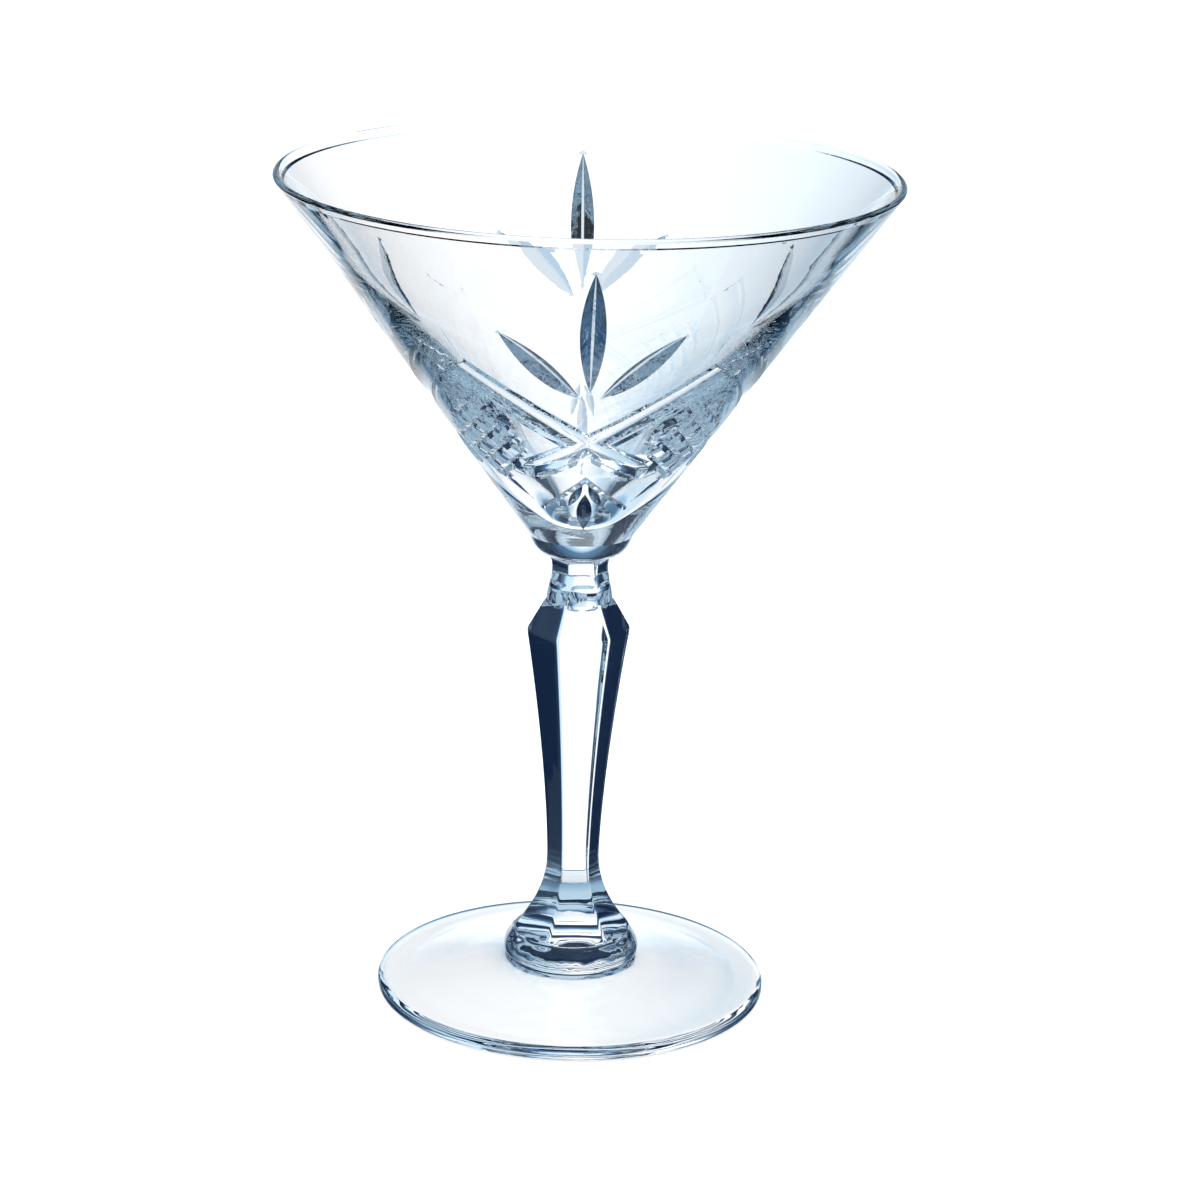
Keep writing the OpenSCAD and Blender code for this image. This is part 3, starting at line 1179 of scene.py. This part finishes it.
@dataclass
class Cutting:
    """The cut pattern of the bowl: sprigs of leaves, crossing ribbons, cross-cut panels and fans."""

    cone: Cone
    leaf_depth: float = 1.3
    leaf_width: float = 4.8
    leaf_land: float = 0.55
    mid_leaf_length: float = 32.0
    mid_leaf_up: float = 53.0
    side_leaf_length: float = 25.4
    side_leaf_up: float = 45.3
    side_leaf_az: float = 13.6
    side_leaf_lean: float = 38.0
    ribbon_up: float = 27.8
    ribbon_slope: float = 32.0
    ribbon_out: float = 24.0
    ribbon_in: float = 9.6
    ribbon_width: float = 4.9
    ribbon_depth: float = 0.45
    ribbon_start_lift: float = 0.9
    line_width: float = 1.1
    line_depth: float = 0.35
    panel_up: float = 27.0
    panel_height: float = 18.0
    panel_width: float = 19.0
    panel_pitch: float = 3.0
    panel_rows: int = 5
    panel_line_width: float = 1.6
    panel_line_depth: float = 0.55
    fan_up: float = 20.0
    fan_height: float = 7.0
    fan_half: float = 7.4
    bead_length: float = 10.4
    bead_up: float = 12.4
    bead_width: float = 3.0
    bead_depth: float = 0.9
    petal_length: float = 7.0
    petal_width: float = 1.7
    petal_depth: float = 0.55
    petal_up: float = 16.2
    petal_az: float = 5.4
    petal_lean: float = 24.0

    def cuts(self) -> List[Cut]:
        """Every cut that reaches the eighth of the bowl from the front round to 45 degrees.

        Returns:
            Wheel and line cuts.
        """
        cone = self.cone
        leaf = (self.leaf_width, self.leaf_depth, self.leaf_land)
        petal = (self.petal_length, self.petal_width, self.petal_depth)
        made: List[Cut] = [
            WheelCut(cone, 0.0, self.mid_leaf_up, 0.0, self.mid_leaf_length, *leaf),
            WheelCut(cone, 0.0, self.bead_up, 0.0, self.bead_length, self.bead_width, self.bead_depth),
        ]
        for way in (-1.0, 1.0):
            side = (way * self.side_leaf_az, self.side_leaf_up, way * self.side_leaf_lean)
            made.append(WheelCut(cone, *side, self.side_leaf_length, *leaf))
            made.append(WheelCut(cone, way * self.petal_az, self.petal_up, -way * self.petal_lean, *petal))
            made.extend(self._ribbon(way))
            made.append(self._arch(way))
        made.extend(self._panel())
        return made

    def _ribbon(self, way: float) -> List[LineCut]:
        """One ribbon: its hollow and the two lines beside it.

        Args:
            way: 1 for the ribbon that rises to the right, -1 for the other.

        Returns:
            The ribbon's cuts.
        """
        slope = math.radians(self.ribbon_slope)
        start = (-way * self.ribbon_in, self.ribbon_up - self.ribbon_in * math.tan(slope))
        end = (way * self.ribbon_out, self.ribbon_up + self.ribbon_out * math.tan(slope))
        inner = self.ribbon_width - self.line_width
        made = [
            LineCut(
                self.cone, 0.0, start, end, inner, self.ribbon_depth,
                hollow=True, round_start=True, deeper_start=self.ribbon_start_lift,
            )
        ]
        aside = (self.ribbon_width - self.line_width / 2) / 2
        shift = (-math.sin(slope) * way * aside, math.cos(slope) * aside)
        for side in (-1.0, 1.0):
            made.append(
                LineCut(
                    self.cone, 0.0,
                    (start[0] + side * shift[0], start[1] + side * shift[1]),
                    (end[0] + side * shift[0], end[1] + side * shift[1]),
                    self.line_width, self.line_depth,
                )
            )
        return made

    def _arch(self, way: float) -> LineCut:
        """One side of the fan's arch.

        Args:
            way: 1 for the right side, -1 for the left.

        Returns:
            The cut.
        """
        return LineCut(
            self.cone, 0.0, (0.0, self.fan_up), (way * self.fan_half, self.fan_up - self.fan_height),
            self.line_width, self.line_depth, round_end=True,
        )

    def _panel(self) -> List[LineCut]:
        """The crossed lines of the panel between two motifs.

        Returns:
            The panel's cuts.
        """
        slope = math.radians(self.ribbon_slope)
        reach = (self.panel_width + self.panel_height) / 2
        half_w, half_h, middle = self.panel_width / 2, self.panel_height / 2, self.panel_up

        def inside(x: Array, z: Array) -> Array:
            """True inside the panel's diamond."""
            return np.abs(x) / half_w + np.abs(z - middle) / half_h <= 1.0

        made = []
        for way in (-1.0, 1.0):
            for row in range(self.panel_rows):
                off = (row - (self.panel_rows - 1) / 2) * self.panel_pitch
                base = (-math.sin(slope) * way * off, middle + math.cos(slope) * off)
                run = (math.cos(slope) * reach, math.sin(slope) * way * reach)
                start = (base[0] - run[0], base[1] - run[1])
                end = (base[0] + run[0], base[1] + run[1])
                size = (self.panel_line_width, self.panel_line_depth)
                made.append(LineCut(self.cone, 45.0, start, end, *size, within=inside))
        return made


@dataclass
class Bowl:
    """The conical bowl with its thick lower wall, rounded lip and cut outer face."""

    bottom: float = 88.7
    height: float = 72.8
    joint_radius: float = 6.4
    turn_radius: float = 8.8
    lip_wall: float = 1.5
    upper_wall: float = 2.8
    upper_wall_height: float = 23.5
    inside_half_angle: float = 42.5
    floor_radius: float = 6.0
    lip_steps: int = 14
    lip_band: float = 1.2
    fine: float = 0.34
    coarse: float = 1.1
    side_points: int = 110
    leaf_from: float = 0.002
    line_from: float = 0.0005
    near_row: float = 1e-3
    near_side: float = 1e-4
    cone: Cone = field(default_factory=Cone)

    def build(self) -> bpy.types.Object:
        """Builds and places the bowl.

        Returns:
            The piece bowl_glass.
        """
        shell = Shell()
        points, faces, kinds = self._octant()
        for turn in range(OCTANTS // 2):
            angle = turn * 2 * OCTANT
            spin = np.array(
                [[math.cos(angle), -math.sin(angle), 0], [math.sin(angle), math.cos(angle), 0], [0, 0, 1]]
            )
            shell.add(points @ spin.T, faces, kinds)
            shell.add((points * [-1, 1, 1]) @ spin.T, [f[::-1] for f in faces], kinds)
        inside = self._inside_line()
        lip = [Face.LIP.value] * (self.lip_steps + 1)
        shell.add(*turned_patch(inside, LIP_SEGMENTS, lip + [Face.SKIN.value] * (len(inside) - 1 - len(lip))))
        base = self._base_line()
        shell.add(
            *turned_patch(base, LIP_SEGMENTS, [Face.FUSED.value] + [Face.SKIN.value] * (len(base) - 2))
        )
        shell.points = [(x, y, z + self.bottom) for x, y, z in shell.points]
        piece = shell.piece("bowl_glass", 13.0, [
            BLOWN.material(), JOINT.material(), LEAF_CUT_PAINTED_SHADE.material(), LINE_CUT_PAINTED_SHADE.material(), LIP.material()
        ])
        return settle(piece, "bowl")

    def _inside_line(self) -> Line:
        """The side drawing of the lip and the inside.

        Returns:
            Side line from the outer edge of the lip, over it and down the inside to the floor's middle.
        """
        cone = self.cone
        lip = self.lip_wall / 2
        over = arc(cone.lip_radius - lip, self.height - lip, lip, 0, 180, self.lip_steps)
        shoulder_up = self.height - self.upper_wall_height
        shoulder_r = float(cone.radius(shoulder_up)) - self.upper_wall
        angle = math.radians(self.inside_half_angle)
        apex = shoulder_up - shoulder_r / math.tan(angle)
        centre = apex + self.floor_radius / math.sin(angle)
        floor = arc(0.0, centre, self.floor_radius, -self.inside_half_angle, -90, 14)
        first = over[-1]
        start = (first[0] + (shoulder_r - first[0]) * 0.04, first[1] + (shoulder_up - first[1]) * 0.04)
        slope = smooth_line(
            [
                start,
                (shoulder_r * 0.35 + first[0] * 0.65, shoulder_up * 0.35 + first[1] * 0.65),
                (shoulder_r * 0.8 + first[0] * 0.2, shoulder_up * 0.8 + first[1] * 0.2),
                (shoulder_r - 4.6, shoulder_up - 5.0),
                (floor[0][0] * 0.5 + shoulder_r * 0.5, floor[0][1] * 0.5 + shoulder_up * 0.5),
                floor[0],
            ],
            1.6,
        )
        return over + slope + floor[1:-1] + [(0.0, floor[-1][1])]

    def _base_line(self) -> Line:
        """The side drawing of the rounded base.

        Returns:
            Side line from the middle of the joint out and up the rounded base to the straight cone.
        """
        cone = self.cone
        side = [
            (
                (1 - t) ** 2 * self.joint_radius + 2 * t * (1 - t) * self.turn_radius
                + t**2 * cone.foot_radius,
                t**2 * cone.low,
            )
            for t in np.linspace(0.0, 1.0, 16)
        ]
        return [(0.0, 0.0)] + side

    def _octant(self) -> Patch:
        """The cut outer face from the front round to 45 degrees.

        Returns:
            Vertices, faces and the faces' kinds.
        """
        cuts = Cutting(self.cone).cuts()
        flat, edges = self._drawing(cuts)
        verts, _, faces, _, _, _ = delaunay_2d_cdt([Vector(p) for p in flat], edges, [], 0, 1e-5)
        spread = np.array([tuple(v) for v in verts])
        corners = np.array([tuple(f) for f in faces])
        az, up = self.cone.roll(spread)
        on_low = np.abs(up - self.cone.low) < self.near_row
        middle_az, middle_up = self.cone.roll(spread[corners].mean(axis=1))
        keep = (middle_az > -1e-6) & (middle_az < OCTANT + 1e-6) & (middle_up > self.cone.low - 0.2)
        keep &= ~on_low[corners].all(axis=1)
        for side in (0.0, OCTANT):
            keep &= ~(np.abs(az - side) < self.near_side)[corners].all(axis=1)
        corners = corners[keep]
        for side in (0.0, OCTANT):
            az = np.where(np.abs(az - side) < self.near_side, side, az)
        edge_row = on_low | (np.abs(up - self.cone.high) < self.near_row)
        step = OCTANT * OCTANTS / LIP_SEGMENTS
        az = np.where(edge_row, np.round(az / step) * step, az)
        plain = self.cone.place(az, up, np.zeros_like(up))
        leaf = self._depth([c for c in cuts if isinstance(c, WheelCut)], plain)
        line = self._depth([c for c in cuts if isinstance(c, LineCut)], plain)
        depth = np.maximum(leaf, line)
        placed = self.cone.place(az, up, np.where(edge_row, 0.0, depth))
        in_leaf = (leaf[corners] > self.leaf_from).any(axis=1)
        in_line = (line[corners] > self.line_from).any(axis=1)
        kinds = np.where(in_leaf, Face.LEAF.value, np.where(in_line, Face.LINE.value, Face.SKIN.value))
        near_lip = up[corners].mean(axis=1) > self.cone.high - self.lip_band
        kinds = np.where(near_lip, Face.LIP.value, kinds)
        used, renamed = np.unique(corners, return_inverse=True)
        return placed[used], [tuple(row) for row in renamed.reshape(corners.shape)], list(kinds)

    def _depth(self, cuts: Sequence[Cut], points: Array) -> Array:
        """Depth under the face that all the cuts leave.

        Args:
            cuts: The cuts.
            points: Points on the cone, n by 3.

        Returns:
            The deepest cut at each point, never under zero.
        """
        deep = np.zeros(len(points))
        for cut in cuts:
            deep = np.maximum(deep, cut.below(points))
        return deep

    def _drawing(self, cuts: Sequence[Cut]) -> Tuple[Line, List[Tuple[int, int]]]:
        """Points and lines of the flat drawing of one eighth.

        Args:
            cuts: The cuts.

        Returns:
            Points of the flat drawing, and the pairs joined by lines.
        """
        cone = self.cone
        points: Line = []
        edges: List[Tuple[int, int]] = []

        def draw(line: Array) -> None:
            """Adds one line to the drawing.

            Args:
                line: [angle, height] points.
            """
            start = len(points)
            points.extend(map(tuple, cone.unroll(line[:, 0], line[:, 1])))
            edges.extend((start + i, start + i + 1) for i in range(len(line) - 1))

        count = LIP_SEGMENTS // OCTANTS
        round_az = np.linspace(0.0, OCTANT, count + 1)
        for up in (cone.low, cone.high - self.lip_band, cone.high):
            draw(np.stack([round_az, np.full(count + 1, up)], axis=-1))
        ups = np.linspace(cone.low, cone.high, self.side_points)
        for az in (0.0, OCTANT):
            draw(np.stack([np.full_like(ups, az), ups], axis=-1))
        for cut in cuts:
            for line in cut.lines():
                for run in self._inside_runs(line):
                    draw(run)
        points.extend(self._filling(cuts, self.coarse, False))
        points.extend(self._filling(cuts, self.fine, True))
        return points, edges

    def _inside_runs(self, line: Array) -> List[Array]:
        """Parts of a line that lie inside the eighth, ended on its sides.

        Args:
            line: [angle, height] points.

        Returns:
            The parts, each of two or more points.
        """
        runs: List[Array] = []
        run: List[Array] = []
        for a, b in zip(line[:-1], line[1:]):
            clipped = self._clip(a, b)
            if clipped is None:
                if len(run) > 1:
                    runs.append(np.array(run))
                run = []
                continue
            if not run:
                run.append(clipped[0])
            run.append(clipped[1])
        if len(run) > 1:
            runs.append(np.array(run))
        return runs

    def _clip(self, a: Array, b: Array) -> Optional[Tuple[Array, Array]]:
        """Trims one step of a line to the eighth.

        Args:
            a: Angle and height where the step starts.
            b: Angle and height where it ends.

        Returns:
            Both ends of the part between the sides of the eighth, or None.
        """
        low, high = 0.0, 1.0
        for bound, sign in ((0.0, 1.0), (OCTANT, -1.0)):
            fa, fb = sign * (a[0] - bound), sign * (b[0] - bound)
            if fa < 0 and fb < 0:
                return None
            if fa < 0 <= fb:
                low = max(low, fa / (fa - fb))
            if fb < 0 <= fa:
                high = min(high, fa / (fa - fb))
        if high - low < 1e-9:
            return None
        return a + (b - a) * low, a + (b - a) * high

    def _filling(self, cuts: Sequence[Cut], pitch: float, cut_only: bool) -> Line:
        """A staggered grid of points over the eighth.

        Args:
            cuts: The cuts.
            pitch: Distance between points.
            cut_only: True for points in the cuts, False for the plain face between them.

        Returns:
            Points of the flat drawing.
        """
        cone = self.cone
        reach = cone.radius(np.array([cone.low, cone.high])) / math.sin(cone.tilt)
        rows = np.arange(0.0, reach[1] + pitch, pitch * math.sqrt(3) / 2)
        found = []
        for number, y in enumerate(rows):
            x = np.arange(0.0, reach[1] * 0.5, pitch) + (number % 2) * pitch / 2
            found.append(np.stack([x, np.full_like(x, y)], axis=-1))
        grid = np.concatenate(found)
        az, up = cone.roll(grid)
        margin = pitch * 0.45
        side = margin / np.maximum(cone.radius(up), 1.0)
        inside = (az > side) & (az < OCTANT - side) & (up > cone.low + margin) & (up < cone.high - margin)
        grid, az, up = grid[inside], az[inside], up[inside]
        is_cut = self._depth(cuts, cone.place(az, up, np.zeros_like(up))) > 0
        return [tuple(p) for p in grid[is_cut == cut_only]]


# ---------------------------------------------------------------- stage


@dataclass
class Camera:
    """The camera, standing in front of the glass and a little above it."""

    distance: float = 0.7045
    height: float = 0.2999
    azimuth: float = -1.6
    pan: float = 0.153
    pitch: float = 17.25
    roll: float = 1.5
    lens: float = 118.2

    def build(self) -> bpy.types.Object:
        """Makes the camera and hands it to the scene.

        Returns:
            The camera.
        """
        data = bpy.data.cameras.new("camera")
        data.lens = self.lens
        data.sensor_width = 36.0
        data.clip_start = 0.01
        data.clip_end = 100.0
        made = bpy.data.objects.new("camera", data)
        bpy.context.scene.collection.objects.link(made)
        around = math.radians(self.azimuth)
        spot = Vector((self.distance * math.sin(around), -self.distance * math.cos(around), self.height))
        aim = math.radians(-self.azimuth + self.pan)
        down = math.radians(self.pitch)
        ahead = Vector((math.sin(aim) * math.cos(down), math.cos(aim) * math.cos(down), -math.sin(down)))
        right = Vector((math.cos(aim), -math.sin(aim), 0.0))
        top = right.cross(ahead)
        turn = math.radians(self.roll)
        tilted = right * math.cos(turn) + top * math.sin(turn)
        upright = top * math.cos(turn) - right * math.sin(turn)
        made.matrix_world = Matrix(
            (
                (tilted.x, upright.x, -ahead.x, spot.x),
                (tilted.y, upright.y, -ahead.y, spot.y),
                (tilted.z, upright.z, -ahead.z, spot.z),
                (0.0, 0.0, 0.0, 1.0),
            )
        )
        bpy.context.scene.camera = made
        return made


@dataclass
class Studio:
    """A pale floor, soft light, and the lit card with dark surround that glass is shown against."""

    floor_half: float = 6.0
    floor_drop: float = 0.0002
    floor_tone: Colour = (0.92, 0.92, 0.92)
    lamp_energy: float = 4.2
    lamp_angle: float = 60.0
    lamp_lean: Point = (12.0, -10.0)
    backdrop_strength: float = 1.05
    glass_away: float = 0.74
    card_away: float = 6.0
    card_drop: float = -8.0
    card_half: float = 12.0
    lit_width: float = 24.0
    lit_height: float = 34.0
    lit_strength: float = 1.25
    lit_spread: float = 0.45
    side_from: float = -1.0
    side_to: float = 9.0
    side_tone: Colour = (0.62, 0.76, 0.86)
    card_tones: Tones = (
        (0.0, (1.0, 1.0, 1.0)),
        (0.40, (0.95, 0.975, 1.0)),
        (0.46, (0.50, 0.66, 0.80)),
        (0.54, (0.07, 0.16, 0.28)),
        (0.75, (0.008, 0.018, 0.045)),
    )
    flank_from: float = 0.78
    flank_to: float = 0.94
    flank_tone: Colour = (0.36, 0.51, 0.63)
    surround: Tones = (
        (0.0, (0.55, 0.74, 0.88)),
        (0.10, (0.34, 0.54, 0.72)),
        (0.20, (0.08, 0.17, 0.29)),
        (0.30, (0.008, 0.018, 0.045)),
        (0.60, (0.008, 0.018, 0.045)),
        (0.72, (0.07, 0.16, 0.28)),
        (0.85, (0.36, 0.52, 0.66)),
        (1.0, (0.80, 0.90, 0.98)),
    )
    glass_bounces: int = 32
    glossy_bounces: int = 16

    def build(self, camera: bpy.types.Object) -> None:
        """Builds the stage.

        Args:
            camera: The camera that the card is hung behind the glass for.
        """
        self._world()
        self._floor()
        self._lamps()
        self._card(camera)
        scene = bpy.context.scene
        scene.view_settings.view_transform = "Standard"
        scene.cycles.max_bounces = self.glass_bounces
        scene.cycles.transmission_bounces = self.glass_bounces
        scene.cycles.transparent_max_bounces = self.glass_bounces
        scene.cycles.glossy_bounces = self.glossy_bounces
        scene.cycles.caustics_refractive = False
        scene.cycles.caustics_reflective = False

    def _world(self) -> None:
        """White backdrop to the eye, dark blue surround to the glass."""
        world = bpy.data.worlds.new("studio")
        bpy.context.scene.world = world
        world.use_nodes = True
        tree = world.node_tree
        tree.nodes.clear()
        heading = tree.nodes.new("ShaderNodeTexCoord").outputs["Generated"]
        axes = add_node(tree, "ShaderNodeSeparateXYZ", {"Vector": heading}).outputs
        tone = graded(tree, spread(tree, axes["Z"], -1.0, 1.0), self.surround)
        flank = spread(tree, reckon(tree, "ABSOLUTE", axes["X"]), self.flank_from, self.flank_to)
        tone = blend(tree, "RGBA", flank, tone, (*self.flank_tone, 1.0))
        dark = add_node(tree, "ShaderNodeBackground", {"Color": tone})
        plain = {"Color": (1.0, 1.0, 1.0, 1.0), "Strength": self.backdrop_strength}
        white = add_node(tree, "ShaderNodeBackground", plain)
        seen = tree.nodes.new("ShaderNodeLightPath").outputs["Is Camera Ray"]
        ends = {"Fac": seen, 1: dark.outputs["Background"], 2: white.outputs["Background"]}
        both = add_node(tree, "ShaderNodeMixShader", ends)
        add_node(tree, "ShaderNodeOutputWorld", {"Surface": both.outputs["Shader"]})

    def _plane(self, name: str, half_w: float, half_h: float) -> bpy.types.Object:
        """A flat stage piece facing up.

        Args:
            name: The object's name.
            half_w: Half its width.
            half_h: Half its length.

        Returns:
            The new stage object.
        """
        mesh = bpy.data.meshes.new(name)
        corners = [(-half_w, -half_h, 0), (half_w, -half_h, 0), (half_w, half_h, 0), (-half_w, half_h, 0)]
        mesh.from_pydata(corners, [], [(0, 1, 2, 3)])
        made = bpy.data.objects.new(name, mesh)
        bpy.context.scene.collection.objects.link(made)
        return made

    def _floor(self) -> None:
        """The pale floor, seen from above only."""
        floor = self._plane("floor", self.floor_half, self.floor_half)
        floor.location.z = -self.floor_drop
        paint = bpy.data.materials.new("pale_floor")
        paint.use_nodes = True
        tree = paint.node_tree
        shader = tree.nodes["Principled BSDF"]
        shader.inputs["Base Color"].default_value = (*self.floor_tone, 1.0)
        shader.inputs["Roughness"].default_value = 0.9
        shader.inputs["Specular IOR Level"].default_value = 0.0
        below = tree.nodes.new("ShaderNodeNewGeometry").outputs["Backfacing"]
        clear = tree.nodes.new("ShaderNodeBsdfTransparent")
        ends = {"Fac": below, 1: shader.outputs["BSDF"], 2: clear.outputs["BSDF"]}
        both = add_node(tree, "ShaderNodeMixShader", ends)
        feed(tree, tree.nodes["Material Output"].inputs["Surface"], both.outputs["Shader"])
        floor.data.materials.append(paint)
        floor.visible_transmission = False
        floor.visible_glossy = False

    def _lamps(self) -> None:
        """Soft overhead light for the floor, kept out of the glass."""
        data = bpy.data.lights.new("overhead", "SUN")
        data.energy = self.lamp_energy
        data.angle = math.radians(self.lamp_angle)
        lamp = bpy.data.objects.new("overhead", data)
        lamp.rotation_euler = (math.radians(self.lamp_lean[0]), math.radians(self.lamp_lean[1]), 0.0)
        bpy.context.scene.collection.objects.link(lamp)
        lamp.visible_glossy = False
        lamp.visible_transmission = False

    def _card(self, camera: bpy.types.Object) -> None:
        """The lit card behind the glass, bright in the middle and falling to dark blue round it.

        Args:
            camera: The camera that carries the card, as a studio rig does.
        """
        card = self._plane("lit_card", self.card_half, self.card_half)
        paint = bpy.data.materials.new("lit_card")
        paint.use_nodes = True
        tree = paint.node_tree
        tree.nodes.clear()
        spot = tree.nodes.new("ShaderNodeTexCoord").outputs["Object"]
        shrink = (1.0 / self._reach(self.lit_width), 1.0 / self._reach(self.lit_height), 1.0)
        fitted = add_node(tree, "ShaderNodeMapping", {"Vector": spot, "Scale": shrink}).outputs["Vector"]
        length = add_node(tree, "ShaderNodeVectorMath", {0: fitted}, operation="LENGTH").outputs["Value"]
        tone = graded(tree, reckon(tree, "MULTIPLY", length, self.lit_spread), self.card_tones)
        across = add_node(tree, "ShaderNodeSeparateXYZ", {"Vector": spot}).outputs["X"]
        side = spread(tree, across, self._reach(self.side_from), self._reach(self.side_to))
        tinted = blend(tree, "RGBA", side, tone, (*self.side_tone, 1.0), "MULTIPLY")
        glow = add_node(tree, "ShaderNodeEmission", {"Color": tinted, "Strength": self.lit_strength})
        add_node(tree, "ShaderNodeOutputMaterial", {"Surface": glow.outputs["Emission"]})
        card.data.materials.append(paint)
        card.visible_camera = False
        card.visible_diffuse = False
        card.visible_shadow = False
        card.parent = camera
        card.location = (0.0, self._reach(self.card_drop), -self.card_away - self.glass_away)

    def _reach(self, degrees: float) -> float:
        """Distance on the card that an angle from its middle spans."""
        return self.card_away * math.tan(math.radians(degrees))


def main() -> None:
    """Builds the glass piece by piece, then the stage."""
    logging.basicConfig(level=logging.INFO, format="%(name)s %(message)s")
    camera = Camera().build()
    for part in (Foot(), BaseButton(), Stem(), Neck(), Bowl()):
        piece = part.build()
        LOG.info("built %s", piece.name)
    Studio().build(camera)


if __name__ == "__main__":
    main()
